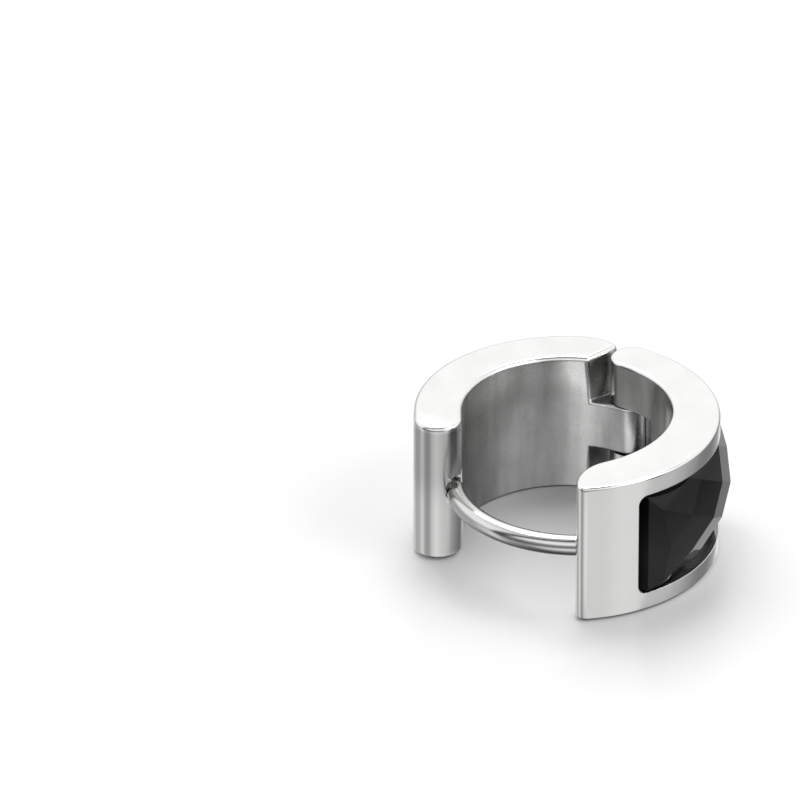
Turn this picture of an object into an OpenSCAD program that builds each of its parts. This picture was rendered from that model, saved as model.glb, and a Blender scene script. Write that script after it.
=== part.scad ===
// Hinged huggie hoop earring, lying on its side.
// The hoop's axis is Z and its underside is z = 0. The hinge is on +X, the gap that the ear post
// closes is on -X, and the stone faces -Y. Millimetres and degrees.

/* [Bands] */
// Width of both bands, along the hoop's axis
band_w = 7.0; // [6:0.1:8]
// Radius of the round opening inside the hoop
bore_r = 4.86; // [4.7:0.02:5]
// Outer radius of the front band
front_r = 7.33; // [7.2:0.01:7.5]
// How far the centre of the front band's outer circle lies from the hoop's centre, away from the hinge
front_off = 0.45; // [0.4:0.01:0.5]
// Outer radius of the back band
back_r = 7.11; // [7:0.01:7.2]

/* [Free ends] */
// Radius of the small round at the outer corner of the front band's free end
toe_corner_r = 0.47; // [0.35:0.01:0.6]
// Radius of the wider curve that leads from the round opening to the front band's free end
sweep_r = 5.66; // [5.5:0.01:5.9]
// Length of the straight stretch before the back band's round free end
heel_run = 0.83; // [0.6:0.01:1]

/* [Hinge] */
// Radius of the hinge pin
pin_r = 0.45; // [0.35:0.01:0.5]
// Running clearance between the pin and the back band's tongue
pin_play = 0.04; // [0.02:0.01:0.08]
// Clearance between the pin and the front band's ears
pin_seat = 0.02; // [0.01:0.01:0.04]
// Metal left over the top end of the pin
pin_cover = 0.8; // [0.5:0.1:1.2]
// Gap between the back band's end face and the round ears
hinge_gap = 0.24; // [0.15:0.01:0.35]
// Share of the band's width that the tongue takes
tongue_share = 0.349; // [0.3:0.01:0.4]
// Gap between the tongue and each ear
tongue_gap = 0.05; // [0.03:0.01:0.1]

/* [Ear post] */
// Diameter of the ear post
post_d = 0.95; // [0.8:0.05:1.1]
// Radius of the post's curve
post_bend_r = 5.66; // [5.5:0.01:5.8]
// Radius of the back band's notch for the post's tip
notch_r = 0.66; // [0.62:0.01:0.8]
// How far the notch's middle lies above the post's, and inside its curve
notch_lift = 0.14; // [0:0.01:0.15]
notch_in = 0.13; // [0:0.01:0.14]

/* [Stone] */
// Length of half a facet along the stone, as an angle on the stone's own arc
facet_step = 8.826; // [8.5:0.002:9.1]
// Half the width of a facet, across the band
facet_half = 0.929; // [0.88:0.001:0.96]
// Radius of the arc on which the facets' ridge points lie
ridge_r = 11.35; // [11.2:0.01:11.5]
// Width of the metal rail on each side of the stone
rail_w = 0.93; // [0.8:0.01:1.1]
// Depth of the stone's pocket
pocket_depth = 0.95; // [0.8:0.01:1.1]
// Corner radius of the stone's pocket
pocket_corner = 0.45; // [0.3:0.01:0.6]
// Gap around the stone in its pocket
stone_gap = 0.05; // [0.03:0.01:0.1]

/* [Hidden] */
$fn = 72;

// Overshoot of every cutting shape, the size of a half space, and the depth of one facet's cut
over = 1;
far = 30;
facet_cut = 6;

function polar(r, a) = [r * cos(a), r * sin(a)];
function unit(v) = v / norm(v);
function at_z(p, z) = [p[0], p[1], z];
// The point at distance ra from a and rb from b, on the left of the way from a to b
function meet(a, ra, b, rb) =
    let (d = norm(b - a), u = (b - a) / d, s = (ra * ra - rb * rb + d * d) / (2 * d),
         h = sqrt(ra * ra - s * s))
    a + s * u + h * [-u[1], u[0]];
function heading(v) = atan2(v[1], v[0]);

// Front band: the circles that its outline follows. The sweep is tangent to the bore at sweep_start,
// and the free end's big round, the toe, is tangent to the sweep.
front_c = [-front_off, 0];
ear_r = (front_r - front_off - bore_r) / 2;
pin_x = bore_r + ear_r;
sweep_start = -68.2;
sweep_c = polar(bore_r - sweep_r, sweep_start);
toe_out = 7.486;
toe_a = 232.13;
toe_c = polar(toe_out, toe_a);
toe_r = norm(toe_c - sweep_c) - sweep_r;
toe_join = heading(toe_c - sweep_c);
toe_corner_c = meet(toe_c, toe_r - toe_corner_r, front_c, front_r - toe_corner_r);

// Back band: the angles and radii of its free end (heel), hinge corner (hip) and end face
heel_a = 121.8;
heel_r = (back_r - bore_r) / 2;
hip_a = 23.8;
hip_r = 2.1;
face_a = 75.4;
face_d = ear_r + hinge_gap;

// Tongue between the ears, and the slot that it turns in
tongue_sink = 0.12;
tongue_r = bore_r + 2 * ear_r - tongue_sink;
tongue_end = -8.5;
tongue_lap = 4;
tongue_round = 0.85;
tongue_corner = 0.35;
tongue_w = band_w * tongue_share;
tongue_lift = 0.32;
tongue_z = band_w * tongue_lift;
slot_end = -23.3;
slot_span = 90;
pin_short = 0.02;

// Ear post: its arc runs from the front band's free end to the back band's notch
post_c = [-0.617, -0.959];
post_root_a = 214;
post_tip_a = 127;
tip_inset = 0.02;
notch_end_a = 116.5;
notch_span = 40;

// Pocket for the stone, as angles about the centre of the front band's outer circle
pocket_a0 = -119.9;
pocket_a1 = -32.7;
pocket_r = front_r - pocket_depth;
// Height of the stone's rough block over the metal, before its facets are cut
rough_h = 2;

// Stone: ridge points 0 to 6 stand at even steps on an arc, lowered a little at both ends.
// Points -2 and 8 lie beyond the ends and only give the slope there.
ridge_c = [-1.658, 3.334];
ridge_a0 = -98.92;
ridge_drop = [0.25, 0, 0, 0.10];
end_turn = 10;
end_run = 3.45;
function turned(v, a) = [v[0] * cos(a) - v[1] * sin(a), v[0] * sin(a) + v[1] * cos(a)];
function arc_ridge(k) = ridge_c + polar(ridge_r - ridge_drop[k / 2], ridge_a0 + facet_step * k);
function ridge(k) =
    k < 0 ? arc_ridge(0) + end_run * turned(unit(arc_ridge(0) - arc_ridge(2)), -end_turn) :
    k > 6 ? arc_ridge(6) + end_run * turned(unit(arc_ridge(6) - arc_ridge(4)), end_turn) :
    arc_ridge(k);
// Facet corners one, two and three half widths to the side of the ridge
function row1(k) = (ridge(k - 1) + ridge(k + 1)) / 2;
function row2(k) = row1(k - 1) + row1(k + 1) - ridge(k);
function row3(k) = row2(k - 1) + row2(k + 1) - row1(k);
// Side bevels: how far out they start, and their fall per mm outwards
bevel_start = 2.15;
bevel_fall = 1.4;
// End bevels: their outer edges, as an angle from the pocket's end and a height over the metal
head_turn = 3.6;
head_h = 0.09;
head_edge = front_c + polar(front_r + head_h, pocket_a0 + head_turn);
tail_turn = 1.2;
tail_h = 0.05;
tail_edge = front_c + polar(front_r + tail_h, pocket_a1 - tail_turn);
// Length of each 45 degree cut at the stone's four corners
corner_leg = 0.3;
// Foot of the steep end wall beside the free end
foot_turn = 1.3;
head_foot = front_c + polar(pocket_r, pocket_a0 + foot_turn);

// The whole earring is centred on its own box, which these outermost points give
x_high = front_r - front_off;
x_low = post_c[0] - post_bend_r - post_d / 2;
y_high = back_r;
y_low = ridge(2)[1];
box_mid = [(x_high + x_low) / 2, (y_high + y_low) / 2];

// Everything to the left of a line through p with heading a
module left_of(p, a) {
    translate(p) rotate(a) translate([-far, 0]) square([2 * far, far]);
}

module disc(c, r) {
    translate(c) circle(r);
}

// The wedge outside the free end's small round
module toe_wedge() {
    intersection() {
        left_of(toe_corner_c, heading(toe_corner_c - toe_c));
        left_of(toe_corner_c, heading(toe_corner_c - front_c) + 180);
    }
}

// The front band's outline. Its free end is cut to a big round inside and a small one outside,
// and its other end is the round that becomes the two ears.
module front_outline() {
    difference() {
        intersection() {
            disc(front_c, front_r);
            left_of([0, 0], 180);
        }
        circle(bore_r);
        intersection() {
            disc(sweep_c, sweep_r);
            left_of([0, 0], sweep_start + 180);
            left_of(toe_c, toe_join);
        }
        difference() {
            left_of(toe_c, toe_join + 180);
            disc(toe_c, toe_r);
        }
        toe_wedge();
    }
    intersection() {
        disc(toe_corner_c, toe_corner_r);
        toe_wedge();
    }
    intersection() {
        disc([pin_x, 0], ear_r);
        left_of([0, 0], 0);
    }
}

// Slot for the back band's tongue
module tongue_slot() {
    translate([0, 0, tongue_z - tongue_gap]) rotate_extrude(start = slot_end, angle = slot_span)
        translate([bore_r - over, 0]) square([ear_r * 2 + 2 * over, tongue_w + 2 * tongue_gap]);
}

// A curved block on the front band's outer circle, shrunk by a gap, between two radii
module curved_block(gap, r_low, r_high, trim_a, trim_z) {
    inset = gap / front_r * 180 / PI;
    a0 = pocket_a0 + inset + trim_a;
    a1 = pocket_a1 - inset - trim_a;
    z0 = rail_w + gap + trim_z;
    z1 = band_w - rail_w - gap - trim_z;
    translate(front_c) rotate_extrude(start = a0, angle = a1 - a0)
        translate([r_low, z0]) square([r_high - r_low, z1 - z0]);
}

// Pocket for the stone, with round corners
module pocket() {
    rc = pocket_corner;
    turn = rc / front_r * 180 / PI;
    curved_block(0, pocket_r, front_r + rough_h, turn, 0);
    curved_block(0, pocket_r, front_r + rough_h, 0, rc);
    translate(front_c) intersection() {
        for (a = [pocket_a0 + turn, pocket_a1 - turn], z = [rail_w + rc, band_w - rail_w - rc])
            rotate(a) translate([0, 0, z]) rotate([0, 90, 0]) cylinder(r = rc, h = front_r + rough_h + over);
        rotate_extrude(start = pocket_a0 - turn, angle = pocket_a1 - pocket_a0 + 2 * turn)
            translate([pocket_r, 0]) square([front_r + rough_h - pocket_r, band_w]);
    }
}

// Cuts the four corners of the stone's rough block off at 45 degrees
module corner_cuts() {
    inset = stone_gap / front_r * 180 / PI;
    z_corner = band_w / 2 - rail_w - stone_gap;
    for (out = [-1, 1], side = [-1, 1])
        translate([front_c[0], front_c[1], band_w / 2 + side * z_corner])
            rotate((out < 0 ? pocket_a0 : pocket_a1) - out * inset) rotate([atan2(-out, side), 0, 0])
                translate([0, -far / 2, -corner_leg / sqrt(2)]) cube([far, far, facet_cut]);
}

// A length of round wire along the post's curve
module wire(bend_r, r, from_a, to_a) {
    rotate_extrude(start = from_a, angle = to_a - from_a) translate([bend_r, 0]) circle(r, $fn = 24);
}

// Ear post with a round tip
module ear_post() {
    translate([post_c[0], post_c[1], band_w / 2]) {
        wire(post_bend_r, post_d / 2, post_tip_a, post_root_a);
        rotate(post_tip_a) translate([post_bend_r, 0, 0]) sphere(post_d / 2 - tip_inset, $fn = 24);
    }
}

// The back band's outline, turned so that its hinge corner joins its curved stretch on the X axis:
// hinge corner and end face, curved stretch, straight round-ended heel
module back_outline() {
    difference() {
        intersection() {
            disc([back_r - hip_r, 0], hip_r);
            left_of([0, 0], 180);
            translate(polar(pin_x, -hip_a)) rotate(face_a - 90 - hip_a)
                translate([-far, face_d]) square([2 * far, far]);
        }
        circle(bore_r);
    }
    difference() {
        intersection() {
            circle(back_r);
            left_of([0, 0], 0);
            left_of([0, 0], heel_a - hip_a + 180);
        }
        circle(bore_r);
    }
    rotate(heel_a - hip_a) {
        translate([bore_r, 0]) square([2 * heel_r, heel_run]);
        translate([bore_r + heel_r, heel_run]) intersection() {
            circle(heel_r);
            left_of([0, 0], 0);
        }
    }
}

// The tongue between the ears, turned as the back band's outline is. The inner corner of its end is
// a big round, and the outer corner a small one.
module tongue() {
    ri = tongue_round;
    ro = tongue_corner;
    end_a = tongue_end - hip_a;
    turn_in = asin(ri / (bore_r + ri));
    turn_out = asin(ro / (tongue_r - ro));
    translate([0, 0, tongue_z]) linear_extrude(tongue_w) {
        ring_part(bore_r, tongue_r, end_a + turn_in, tongue_lap);
        ring_part(bore_r + ri, tongue_r, end_a + turn_out, tongue_lap);
        ring_part(bore_r + ri, tongue_r - ro, end_a, tongue_lap);
        rotate(end_a + turn_in) translate([bore_r + ri, 0]) circle(ri);
        rotate(end_a + turn_out) translate([tongue_r - ro, 0]) circle(ro);
    }
}

// Flat part of a ring between two angles
module ring_part(r0, r1, a0, a1) {
    difference() {
        circle(r1);
        circle(r0);
        rotate(a0) translate([-far, -far]) square([2 * far, far]);
        rotate(a1) translate([-far, 0]) square([2 * far, far]);
    }
}

// Notch for the post's tip, open to the inside of the hoop and to the band's end
module notch() {
    translate([post_c[0], post_c[1], band_w / 2 + notch_lift])
        rotate_extrude(start = notch_end_a, angle = notch_span) {
            translate([post_bend_r - notch_in, 0]) circle(notch_r, $fn = 24);
            translate([post_bend_r - notch_in - over, -notch_r]) square([over, 2 * notch_r]);
        }
}

module pin_hole(r, h) {
    translate([pin_x, 0, -over]) cylinder(r = r, h = h + over);
}

// Takes away everything beyond a plane through three points, seen anticlockwise from outside
module facet(a, b, c) {
    n = unit(cross(b - a, c - a));
    turn = acos(n[2]);
    axis = abs(n[2]) > 0.9999 ? [1, 0, 0] : [-n[1], n[0], 0];
    translate(a) rotate(a = turn, v = axis) translate([-far / 2, -far / 2, 0]) cube([far, far, facet_cut]);
}

// The facets on one side of the stone's ridge, side = 1 up or -1 down
module side_facets(side) {
    mid = band_w / 2;
    z1 = mid + side * facet_half;
    z2 = mid + side * 2 * facet_half;
    z3 = mid + side * 3 * facet_half;
    // Next to the ridge
    for (k = [0, 2, 4, 6])
        facet_to(side, at_z(ridge(k), mid), at_z(row1(k + 1), z1), at_z(row1(k - 1), z1));
    // Second row
    for (k = [1, 3, 5])
        facet_to(side, at_z(row1(k), z1), at_z(row2(k + 1), z2), at_z(row2(k - 1), z2));
    // Third row
    for (k = [2, 4])
        facet_to(side, at_z(row2(k), z2), at_z(row3(k + 1), z3), at_z(row3(k - 1), z3));
    // Steep bevels along the girdle
    for (k = [1, 3, 5]) {
        way = unit(ridge(k + 1) - ridge(k - 1));
        out = [way[1], -way[0]];
        start = row2_level(k);
        lower = start - bevel_fall * out;
        facet_to(side, at_z(start, mid + side * bevel_start), at_z(start + way, mid + side * bevel_start),
            at_z(lower, mid + side * (bevel_start + 1)));
    }
}

// The level of the second row's facets beside step k
function row2_level(k) = row1(k) + (row3(k) - row1(k)) * (bevel_start - facet_half) / (2 * facet_half);

// A facet whose points are given for the upper side, turned round for the lower one
module facet_to(side, a, b, c) {
    if (side > 0) facet(a, b, c);
    else facet(a, c, b);
}

module front_band() {
    color([0.80, 0.80, 0.79]) difference() {
        union() {
            linear_extrude(band_w) front_outline();
            ear_post();
        }
        tongue_slot();
        pin_hole(pin_r + pin_seat, band_w - pin_cover);
        pocket();
    }
}

module back_band() {
    color([0.78, 0.78, 0.77]) difference() {
        rotate(hip_a) {
            linear_extrude(band_w) back_outline();
            tongue();
        }
        pin_hole(pin_r + pin_play, band_w + over);
        notch();
    }
}

module hinge_pin() {
    color([0.6, 0.6, 0.6]) translate([pin_x, 0, 0]) cylinder(r = pin_r, h = band_w - pin_cover - pin_short);
}

module stone() {
    mid = band_w / 2;
    color([0.05, 0.05, 0.06]) difference() {
        curved_block(stone_gap, pocket_r + stone_gap, front_r + rough_h, 0, 0);
        // Along the ridge
        for (k = [1, 3, 5])
            facet(at_z(ridge(k - 1), mid), at_z(ridge(k + 1), mid), at_z(ridge(k + 1), mid + 1));
        side_facets(1);
        side_facets(-1);
        corner_cuts();
        // Bevels at the two ends, and the steep end wall
        facet(at_z(head_edge, mid), at_z(ridge(0), mid), at_z(ridge(0), mid + 1));
        facet(at_z(ridge(6), mid), at_z(tail_edge, mid), at_z(tail_edge, mid + 1));
        facet(at_z(head_foot, mid), at_z(head_edge, mid), at_z(head_edge, mid + 1));
    }
}

module seat() {
    translate([-box_mid[0], -box_mid[1], 0]) children();
}

seat() front_band();
seat() back_band();
seat() hinge_pin();
seat() stone();
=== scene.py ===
"""Looks of the hinged huggie earring, lying on its side on a pale floor."""
import math

import bmesh
import bpy
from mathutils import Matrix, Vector


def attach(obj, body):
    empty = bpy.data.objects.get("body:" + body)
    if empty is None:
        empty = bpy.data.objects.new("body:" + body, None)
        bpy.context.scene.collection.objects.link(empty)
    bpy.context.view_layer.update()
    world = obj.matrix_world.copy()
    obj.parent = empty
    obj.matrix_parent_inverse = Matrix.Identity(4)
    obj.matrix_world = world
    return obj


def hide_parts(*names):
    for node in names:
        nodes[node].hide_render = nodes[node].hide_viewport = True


MM = 0.001
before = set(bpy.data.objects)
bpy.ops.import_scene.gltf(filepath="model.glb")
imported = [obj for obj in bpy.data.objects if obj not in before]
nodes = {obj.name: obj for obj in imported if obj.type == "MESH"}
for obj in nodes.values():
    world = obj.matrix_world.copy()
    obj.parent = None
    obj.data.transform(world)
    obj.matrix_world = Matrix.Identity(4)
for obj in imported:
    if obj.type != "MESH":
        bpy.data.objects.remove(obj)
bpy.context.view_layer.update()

# Sizes from part.scad, in mm. The frame's zero lies at the box's middle, and the hoop's centre lies at HOOP.
HOOP = Vector((-0.064, 0.38722, 0.0))
PIN = HOOP + Vector((5.87, 0.0, 0.0))
BAND_W = 7.0
# Middle height of the tongue, and heights that its own edges lie between
TONGUE_Z = 3.46
TONGUE_FROM, TONGUE_TO = 2.2, 4.72
# Centre of the ear post's curve, from the hoop's centre, and the curve's radius
POST_C, POST_BEND_R = (-0.617, -0.959), 5.66

# ---------------------------------------------------------------- camera
# The photograph looks down 29 degrees, along (0.850, 0.527) in plan. Its scale is 21.56 px/mm.
ELEVATION = math.radians(29.0)
ALONG = Vector((0.850, 0.527, 0.0)).normalized()
RIGHT = Vector((ALONG.y, -ALONG.x, 0.0))
UP = Vector((0.0, 0.0, 1.0))
PX_PER_MM, LENS, SENSOR, FRAME_PX = 21.56, 600.0, 36.0, 800
# The hoop's centre at mid height stands at this column, 74 px below the middle row, so it is this far ahead
HOOP_COLUMN, AHEAD = 566.8, 7.082


def add_camera():
    look = ALONG * math.cos(ELEVATION) - UP * math.sin(ELEVATION)
    aside = (HOOP_COLUMN - FRAME_PX / 2) / PX_PER_MM
    aim = HOOP - RIGHT * aside + ALONG * AHEAD + UP * (BAND_W / 2)
    reach = LENS * FRAME_PX / (SENSOR * PX_PER_MM) + AHEAD * math.cos(ELEVATION)
    data = bpy.data.cameras.new("camera")
    data.lens, data.sensor_width = LENS, SENSOR
    data.clip_start, data.clip_end = 0.05, 20.0
    camera = bpy.data.objects.new("camera", data)
    bpy.context.scene.collection.objects.link(camera)
    camera.rotation_mode = "QUATERNION"
    camera.rotation_quaternion = look.to_track_quat("-Z", "Y")
    camera.location = (aim - look * reach) * MM
    bpy.context.scene.camera = camera


add_camera()


# ---------------------------------------------------------------- node trees
class Nodes:
    """Short way to build a node tree. Inputs take a value or another node's output."""

    def __init__(self, tree):
        self.tree = tree
        tree.nodes.clear()

    def add(self, kind, inputs=None, **props):
        node = self.tree.nodes.new(kind)
        for key, value in props.items():
            setattr(node, key, value)
        for key, value in (inputs or {}).items():
            if isinstance(value, bpy.types.NodeSocket):
                self.tree.links.new(value, node.inputs[key])
            else:
                node.inputs[key].default_value = value
        return node

    def math(self, op, *values):
        return self.add("ShaderNodeMath", dict(enumerate(values)), operation=op).outputs[0]

    def product(self, first, *others):
        for other in others:
            first = self.math("MULTIPLY", first, other)
        return first

    def away(self, x, centre):
        """How far x lies from centre."""
        return self.math("ABSOLUTE", self.math("SUBTRACT", x, centre))

    def remap(self, x, a, b, lo, hi, smooth=False):
        """lo at x = a, hi at x = b, and flat beyond both."""
        inputs = {"Value": x, "From Min": a, "From Max": b, "To Min": lo, "To Max": hi}
        kind = "SMOOTHSTEP" if smooth else "LINEAR"
        return self.add("ShaderNodeMapRange", inputs, interpolation_type=kind).outputs[0]

    def fade(self, x, none, full, smooth=False):
        """A mask: 0 at x = none, 1 at x = full."""
        return self.remap(x, none, full, 0, 1, smooth)

    def factor(self, mask, value):
        """1 off the mask and value on it."""
        return self.remap(mask, 0, 1, 1, value)

    def mix(self, mask, off, on):
        return self.add("ShaderNodeMix", {0: mask, 2: off, 3: on}, data_type="FLOAT").outputs[0]

    def shift(self, v, by):
        return self.add("ShaderNodeVectorMath", {0: v, 1: tuple(by)}, operation="ADD").outputs[0]

    def length(self, v):
        return self.add("ShaderNodeVectorMath", {0: v}, operation="LENGTH").outputs["Value"]

    def dot(self, v, w):
        return self.add("ShaderNodeVectorMath", {0: v, 1: w}, operation="DOT_PRODUCT").outputs["Value"]

    def split(self, v):
        return self.add("ShaderNodeSeparateXYZ", {0: v}).outputs

    def grey(self, tone, blue=1.0):
        """A grey, with blue as the blue channel's share of it."""
        channels = {0: tone, 1: tone, 2: self.math("MULTIPLY", tone, blue)}
        return self.add("ShaderNodeCombineColor", channels).outputs[0]

    def noise(self, where, scale, detail, roughness=0.5):
        inputs = {"Vector": where, "Scale": scale, "Detail": detail, "Roughness": roughness}
        return self.add("ShaderNodeTexNoise", inputs).outputs["Fac"]

    def ramp(self, x, stops):
        """Eased greys through (position, value) stops."""
        node = self.add("ShaderNodeValToRGB", {"Fac": x})
        ramp = node.color_ramp
        ramp.interpolation = "EASE"
        ramp.elements[0].position, ramp.elements[1].position = stops[0][0], stops[-1][0]
        for position, _ in stops[1:-1]:
            ramp.elements.new(position)
        for element, (_, value) in zip(ramp.elements, stops):
            element.color = (value, value, value, 1)
        return node.outputs[0]


def material(name):
    m = bpy.data.materials.new(name)
    m.use_nodes = True
    return m, Nodes(m.node_tree)


def surface(n, **inputs):
    """The material's one shader. Inputs are named as its sockets are, with _ for a space."""
    bsdf = n.add("ShaderNodeBsdfPrincipled", {key.replace("_", " "): value for key, value in inputs.items()})
    n.add("ShaderNodeOutputMaterial", {"Surface": bsdf.outputs[0]})


# ---------------------------------------------------------------- steel
# Where each zone of the bands fades in, from none of it to all of it. FACE is how far a face looks away from the
# hoop's axis: the radius on an outside wall, 0 on a level face and minus the radius on the inside wall. The rest
# are mm: RADIUS, X and Y from the hoop's centre, and the others from the line or the height that they name.
INSIDE_FACE, INSIDE_RADIUS = (-3.7, -4.5), (6.3, 5.9)
OFF_RIMS_FROM_MIDDLE = (3.3, 3.15)
NEAR_PIN, OFF_TONGUE_FROM_MIDDLE = (2.7, 2.3), (1.30, 1.34)
SAWN_FACE, TONGUE_FACE = (2.0, 0.8), (3.0, 1.5)
DEEP_SLOT_RADIUS = (5.2, 6.1)
POST_FROM_MIDDLE, POST_X = (0.50, 0.49), (-3.7, -3.8)
HEEL_X, HEEL_Y, HEEL_INNER_RADIUS = (-3.6, -4.1), (0.5, 1.0), (6.3, 5.3)
# Where the inside wall's painted light towards the hinge fades in
LIT_SIDE_X, LIT_SIDE_Y = (2.0, 3.5), (3.0, 1.3)
# How upright a face's normal is where it counts as level
LEVEL = (0.6, 0.9)
# Tone of the sawn faces, and what the tone of other zones is multiplied by: painted shade in the slot, the post's
# own tone, painted shade on the free end's inner half, and painted light on the inside wall towards the hinge
SAWN_TONE = 0.31
SLOT_SHADE, ON_POST, HEEL_INNER_SHADE, LIT_SIDE_GAIN = 0.25, 0.84, 0.6, 2.05
# The most that the painted light brings the inside wall's tone to
BRIGHTEST = 0.9
# The stretches of a noise texture's values that a tone or a roughness is spread over
BAND_NOISE, WIDE_NOISE = (0.35, 0.65), (0.3, 0.7)


class Zones:
    """A shaded point's place in mm from the hoop's centre, and masks (0 to 1) of the bands' parts."""

    def __init__(self, n):
        co = n.add("ShaderNodeTexCoord")
        normal = co.outputs["Normal"]
        from_hoop = n.shift(co.outputs["Object"], -HOOP * MM)
        self.mm = n.add("ShaderNodeVectorMath", {0: from_hoop, "Scale": 1 / MM}, operation="SCALE").outputs[0]
        self.x, self.y, self.z = n.split(self.mm)
        plan = n.add("ShaderNodeCombineXYZ", {0: self.x, 1: self.y}).outputs[0]
        self.radius = n.length(plan)
        outward = n.dot(normal, plan)
        from_middle = n.away(self.z, BAND_W / 2)

        # The walls without the rims of the two flat sides
        self.off_side = n.fade(from_middle, *OFF_RIMS_FROM_MIDDLE)
        inside_wall = n.product(n.fade(outward, *INSIDE_FACE), n.fade(self.radius, *INSIDE_RADIUS))
        near_pin = n.fade(n.length(n.shift(plan, HOOP - PIN)), *NEAR_PIN)
        off_tongue = n.fade(n.away(self.z, TONGUE_Z), *OFF_TONGUE_FROM_MIDDLE)

        # The sawn faces round the hinge, above and below the tongue
        self.sawn = n.product(near_pin, self.off_side, n.fade(outward, *SAWN_FACE), off_tongue,
                              n.remap(inside_wall, 0, 1, 1, 0))

        # The tongue and the slot's faces at its height, and of these the parts that lie deep or level
        at_tongue = n.product(near_pin, n.remap(off_tongue, 0, 1, 1, 0), n.fade(outward, *TONGUE_FACE))
        level = n.fade(n.math("ABSOLUTE", n.split(normal)[2]), *LEVEL)
        self.slot = n.product(at_tongue, n.math("MAXIMUM", n.fade(self.radius, *DEEP_SLOT_RADIUS), level))

        from_bend = n.away(n.length(n.shift(plan, (-POST_C[0], -POST_C[1], 0))), POST_BEND_R)
        self.post = n.product(n.fade(from_bend, *POST_FROM_MIDDLE), n.fade(from_middle, *POST_FROM_MIDDLE),
                              n.fade(self.x, *POST_X))
        off_post = n.math("SUBTRACT", 1.0, self.post)
        self.inside = n.product(n.math("MAXIMUM", inside_wall, at_tongue), off_post)
        # The back band's free end
        self.heel = n.product(n.fade(self.x, *HEEL_X), n.fade(self.y, *HEEL_Y), off_post)


def steel(name, tint, inner, inner_rough, sawn=0.0, inner_top=1.0):
    """Polished steel of tone tint, with a satin, softly streaked inside wall.

    inner and inner_rough are the lowest and highest tone and roughness inside. inner_top is how much lighter
    the inside is painted towards its upper rim, as painted light, and sawn how far the faces round the hinge keep a
    sawn look."""
    m, n = material(name)
    at = Zones(n)
    sawn_mask = n.math("MULTIPLY", at.sawn, sawn)

    # Soft streaks along the hoop's axis, from drawing the strip that the bands are made of
    stretch = n.add("ShaderNodeMapping", {"Vector": at.mm, "Scale": (1.0, 1.0, 0.12)}).outputs[0]
    broad, fine = n.noise(stretch, 0.8, 2.0), n.noise(stretch, 5.0, 3.0)
    streaks = n.math("MULTIPLY_ADD", fine, 0.15, n.math("MULTIPLY", broad, 0.85))
    # Faint polish marks all over
    haze = n.noise(at.mm, 0.7, 3.0, 0.55)
    grain = n.noise(at.mm, 26.0, 2.0)

    # Painted light and shade: the inside wall is painted lighter towards the hinge and the upper rim, and darker
    # towards the lower rim
    hinge_side_light = n.product(n.fade(at.y, *LIT_SIDE_Y, True), n.fade(at.x, *LIT_SIDE_X))
    inside_tone = n.product(n.remap(streaks, *BAND_NOISE, *inner), n.factor(hinge_side_light, LIT_SIDE_GAIN),
                            n.remap(at.z, 0.0, 5.0, 0.74, 0.97), n.remap(at.z, 4.9, 6.6, 1.0, inner_top, True))
    inside_tone = n.product(n.math("MINIMUM", inside_tone, BRIGHTEST), n.remap(haze, *BAND_NOISE, 0.93, 1.07))

    # The back band's free end has a satin look, and painted shade darkens it towards the top and on its inner half
    heel_wall = n.math("MULTIPLY", at.heel, at.off_side)
    heel_inner_shade = n.product(heel_wall, n.fade(at.radius, *HEEL_INNER_RADIUS, True))
    outside_tone = n.product(n.remap(haze, *WIDE_NOISE, tint - 0.015, tint + 0.015),
                             n.mix(heel_wall, 1.0, n.remap(at.z, 2.6, 4.6, 0.95, 0.72, True)),
                             n.factor(heel_inner_shade, HEEL_INNER_SHADE))

    # The slot round the tongue's end is darkened with painted shade, and the post is a little duller than the bands
    tone = n.product(n.mix(at.inside, outside_tone, inside_tone), n.factor(at.slot, SLOT_SHADE))
    tone = n.product(n.mix(sawn_mask, tone, SAWN_TONE), n.factor(at.post, ON_POST))

    polished = n.math("MULTIPLY_ADD", at.heel, 0.06, n.remap(haze, *WIDE_NOISE, 0.12, 0.18))
    satin = n.remap(grain, *WIDE_NOISE, *inner_rough)
    rough = n.mix(n.math("MAXIMUM", at.inside, sawn_mask), polished, satin)
    grit = n.math("MULTIPLY", grain, n.remap(at.heel, 0, 1, 0.03, 0.08))
    height = n.math("MULTIPLY_ADD", streaks, at.inside, grit)
    # Small edges that stay sharp in the mesh catch the light as if worn
    worn = n.add("ShaderNodeBevel", {"Radius": 0.07 * MM}, samples=8).outputs[0]
    relief = n.add("ShaderNodeBump", {"Height": height, "Strength": 0.2, "Distance": 0.03 * MM, "Normal": worn})
    surface(n, Base_Color=n.grey(tone, 0.99), Metallic=1.0, Roughness=rough, Normal=relief.outputs[0])
    return m


# ---------------------------------------------------------------- stone
def black_stone(name):
    """Opaque black cut stone, polished, with a faint cloud of tone and painted light towards its lower edge."""
    m, n = material(name)
    where = n.add("ShaderNodeTexCoord").outputs["Object"]
    cloud = n.noise(where, 420.0, 3.0)
    # Painted light: the tone is lighter towards the lower edge, where the stone sits in the pocket's shade
    lit = n.remap(n.split(where)[2], 5.2 * MM, 2.4 * MM, 0.005, 0.024)
    tone = n.math("MULTIPLY", lit, n.remap(cloud, *WIDE_NOISE, 0.8, 1.2))
    surface(n, Base_Color=n.grey(tone, 1.05), Roughness=n.remap(cloud, *WIDE_NOISE, 0.02, 0.05), IOR=1.5,
            Specular_IOR_Level=0.2)
    return m


def dress(obj, mat):
    obj.data.materials.clear()
    obj.data.materials.append(mat)


# ---------------------------------------------------------------- rounded pieces
# Widths of the rolled edges, in mm
FRONT_RIM, BACK_RIM, FACET_RIM = 0.17, 0.23, 0.02
TONGUE_SHARE = 0.7
# Edges under these angles, in degrees, are left as the curve's own
BAND_SHARP, FACET_SHARP = 28, 3
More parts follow.
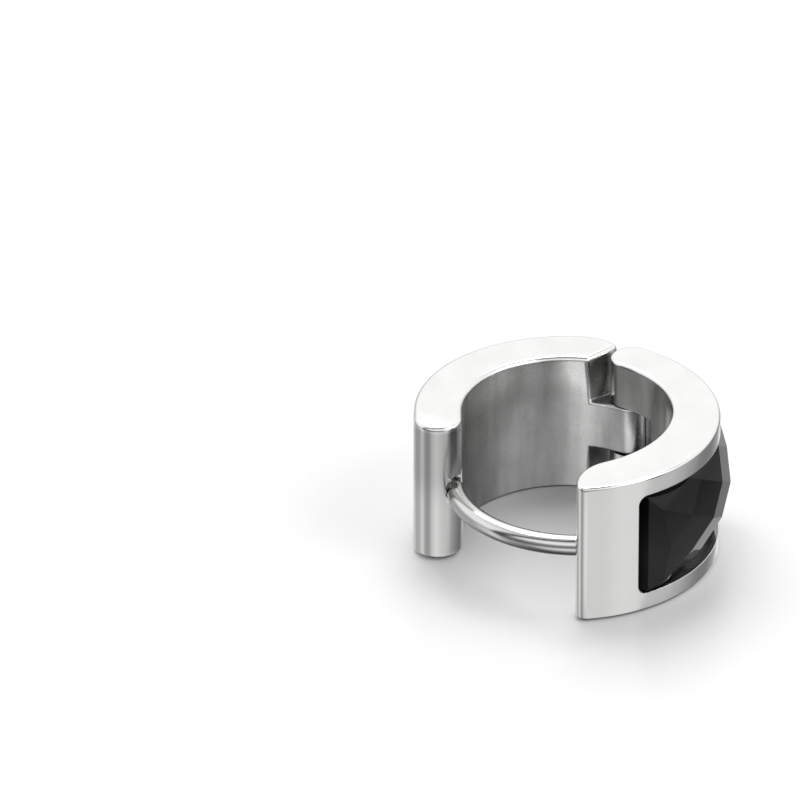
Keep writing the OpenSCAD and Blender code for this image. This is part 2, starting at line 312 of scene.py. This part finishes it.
# Facets closer to flat than this, in degrees, are joined, and so are corners closer than this, in metres
FLAT, SAME_PLACE = 0.4, 1e-6
NEAR = 0.01
# How far the edges of the pin's hole reach from its axis, in the front band and in the tongue
FRONT_HOLE, TONGUE_HOLE = 0.5, 0.52


def rolled(node, name, body, mat, rim, share, sharp_from, segments=4):
    """A copy of a CAD node with its edges rolled over. share(p, edge) is each edge's part of the width rim (mm)."""
    bm = bmesh.new()
    bm.from_mesh(nodes[node].data)
    bmesh.ops.remove_doubles(bm, verts=bm.verts, dist=SAME_PLACE)
    bmesh.ops.dissolve_limit(bm, angle_limit=math.radians(FLAT), verts=bm.verts, edges=bm.edges)
    weights = bm.edges.layers.float.new("bevel_weight_edge")
    for f in bm.faces:
        f.smooth = True
    for e in bm.edges:
        if len(e.link_faces) == 2 and e.calc_face_angle(0) > math.radians(sharp_from):
            w = share((e.verts[0].co + e.verts[1].co) / 2 / MM, e)
            e[weights] = w
            e.smooth = w > 0
    mesh = bpy.data.meshes.new(name)
    bm.to_mesh(mesh)
    bm.free()
    obj = bpy.data.objects.new(name, mesh)
    bpy.context.scene.collection.objects.link(obj)
    dress(obj, mat)
    bevel = obj.modifiers.new("rolled_edges", "BEVEL")
    bevel.limit_method, bevel.width, bevel.segments = "WEIGHT", rim * MM, segments
    bevel.use_clamp_overlap = False
    normals = obj.modifiers.new("normals", "WEIGHTED_NORMAL")
    normals.keep_sharp = True
    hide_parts(node)
    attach(obj, body)


def on_side(p):
    """Is a point on one of the hoop's two flat sides?"""
    return p.z < NEAR or p.z > BAND_W - NEAR


def from_pin(p):
    return math.hypot(p.x - PIN.x, p.y - PIN.y)


def front_share(p, e):
    """Only the edges of the flat sides are rolled, and not the pin's hole."""
    return 1.0 if on_side(p) and from_pin(p) > FRONT_HOLE else 0.0


def back_share(p, e):
    """The edges of the flat sides, and the other convex ones at the hinge."""
    if on_side(p):
        return 1.0
    if from_pin(p) < TONGUE_HOLE or p.x < 0 or not e.is_convex:
        return 0.0
    return TONGUE_SHARE if TONGUE_FROM < p.z < TONGUE_TO else 1.0


def facet_share(p, e):
    return 1.0 if e.is_convex else 0.0


front_steel = steel("front_steel", 0.80, (0.30, 0.40), (0.15, 0.19))
back_steel = steel("back_steel", 0.79, (0.34, 0.50), (0.25, 0.32), sawn=1.0, inner_top=1.9)
pin_steel = steel("pin_steel", 0.70, (0.40, 0.50), (0.25, 0.32))
stone_mat = black_stone("black_stone")
dress(nodes["hinge_pin"], pin_steel)
rolled("front_band", "front_hoop", "front", front_steel, FRONT_RIM, front_share, BAND_SHARP)
rolled("back_band", "back_hoop", "back", back_steel, BACK_RIM, back_share, BAND_SHARP)
rolled("stone", "cut_stone", "front", stone_mat, FACET_RIM, facet_share, FACET_SHARP, segments=2)


# ---------------------------------------------------------------- floor
def add_floor():
    # Just under the hoop's flat side, so that the two don't share a plane
    bpy.ops.mesh.primitive_plane_add(size=4.0, location=(0, 0, -0.02 * MM))
    floor = bpy.context.object
    floor.name = "floor"
    m, n = material("floor")
    paper = n.noise(n.add("ShaderNodeTexCoord").outputs["Object"], 900.0, 2.0)
    surface(n, Base_Color=(0.9, 0.9, 0.9, 1), Specular_IOR_Level=0.3,
            Roughness=n.remap(paper, *WIDE_NOISE, 0.28, 0.34))
    dress(floor, m)
    # The metal mirrors the studio's lower cards in its place
    floor.visible_glossy = False


add_floor()

# ---------------------------------------------------------------- studio
# Greys of the overhead box by height, from the horizon (0) to the zenith (1)
SKY = [(0.0, 0.45), (0.12, 0.62), (0.28, 0.98), (0.6, 1.0), (0.8, 0.8), (0.92, 0.48), (1.0, 0.42)]
# Cards below the horizon, by the turn from the camera's side (0) to the right (+) and left (-), in degrees
CARDS = [(-180, 0.50), (-150, 0.70), (-122, 0.42), (-100, 0.44), (-86, 0.66), (-76, 0.78), (-66, 0.40), (-46, 0.32),
         (-24, 0.68), (-5, 0.80), (14, 0.68), (28, 0.66), (45, 0.74), (57, 0.72), (70, 0.52), (85, 0.50), (95, 0.42),
         (106, 0.32), (121, 0.20), (135, 0.20), (148, 0.32), (165, 0.85), (180, 0.50)]
# How the cards fade out by depth, from the horizon (0) to straight down (1)
DEPTH = [(0.0, 0.9), (0.3, 1.0), (0.58, 1.0), (0.78, 0.4), (1.0, 0.12)]
# The turns between which it is dark near the horizon
DARK_SIDE = [(-180, 0), (-80, 0), (-55, 1), (15, 1), (38, 0), (180, 0)]
GAP_TONE, LOW_SKY, LOW_CARDS = 0.12, 0.38, 0.3
# How bright it is as seen or mirrored, and as light on what scatters it
SEEN, SCATTERED = 1.15, 0.90


def by_turn(stops):
    """Ramp stops by degrees, as shares of a full turn."""
    return [((degrees + 180) / 360, value) for degrees, value in stops]


def add_studio():
    """An overhead box with a dark gap towards the camera, cards below the horizon, and a dark band between."""
    world = bpy.data.worlds.new("studio")
    bpy.context.scene.world = world
    world.use_nodes = True
    n = Nodes(world.node_tree)
    way = n.add("ShaderNodeTexCoord").outputs["Generated"]
    up = n.split(way)[2]
    front, right = n.dot(way, tuple(-ALONG)), n.dot(way, tuple(RIGHT))
    turn = n.fade(n.math("ARCTAN2", right, front), -math.pi, math.pi)
    dark_side = n.ramp(turn, by_turn(DARK_SIDE))

    gap = n.product(n.fade(front, 0.20, 0.28, True), n.fade(front, 0.52, 0.44, True))
    low = n.product(dark_side, n.fade(up, 0.48, 0.28, True))
    sky = n.product(n.ramp(up, SKY), n.factor(gap, GAP_TONE), n.factor(low, LOW_SKY))

    near_horizon = n.product(dark_side, n.fade(up, -0.36, -0.10, True))
    below = n.product(n.ramp(turn, by_turn(CARDS)), n.mix(near_horizon, 1.0, LOW_CARDS),
                      n.ramp(n.math("MULTIPLY", up, -1.0), DEPTH))

    tone = n.mix(n.fade(up, -0.06, 0.02, True), below, sky)
    path = n.add("ShaderNodeLightPath")
    strength = n.remap(path.outputs["Diffuse Depth"], 0, 1, SEEN, SCATTERED)
    back = n.add("ShaderNodeBackground", {"Color": n.grey(tone), "Strength": strength})
    n.add("ShaderNodeOutputWorld", {"Surface": back.outputs[0]})


add_studio()


def soft_box(name, azimuth, elevation, size, power, distance=0.30):
    """A square soft box aimed at the earring. Azimuth 0 stands behind it as the camera sees it."""
    a, e = math.radians(azimuth), math.radians(elevation)
    side = ALONG * math.cos(a) + RIGHT * math.sin(a)
    way = side * math.cos(e) + UP * math.sin(e)
    light = bpy.data.lights.new(name, "AREA")
    light.shape, light.size, light.energy = "SQUARE", size, power
    lamp = bpy.data.objects.new(name, light)
    bpy.context.scene.collection.objects.link(lamp)
    lamp.location = way * distance
    lamp.rotation_mode = "QUATERNION"
    lamp.rotation_quaternion = (-way).to_track_quat("-Z", "Y")


soft_box("key", -12, 62, size=0.20, power=0.45)
soft_box("fill", 112, 44, size=0.16, power=0.22)

bpy.context.scene.view_settings.view_transform = "Standard"
bpy.context.scene.view_settings.look = "None"
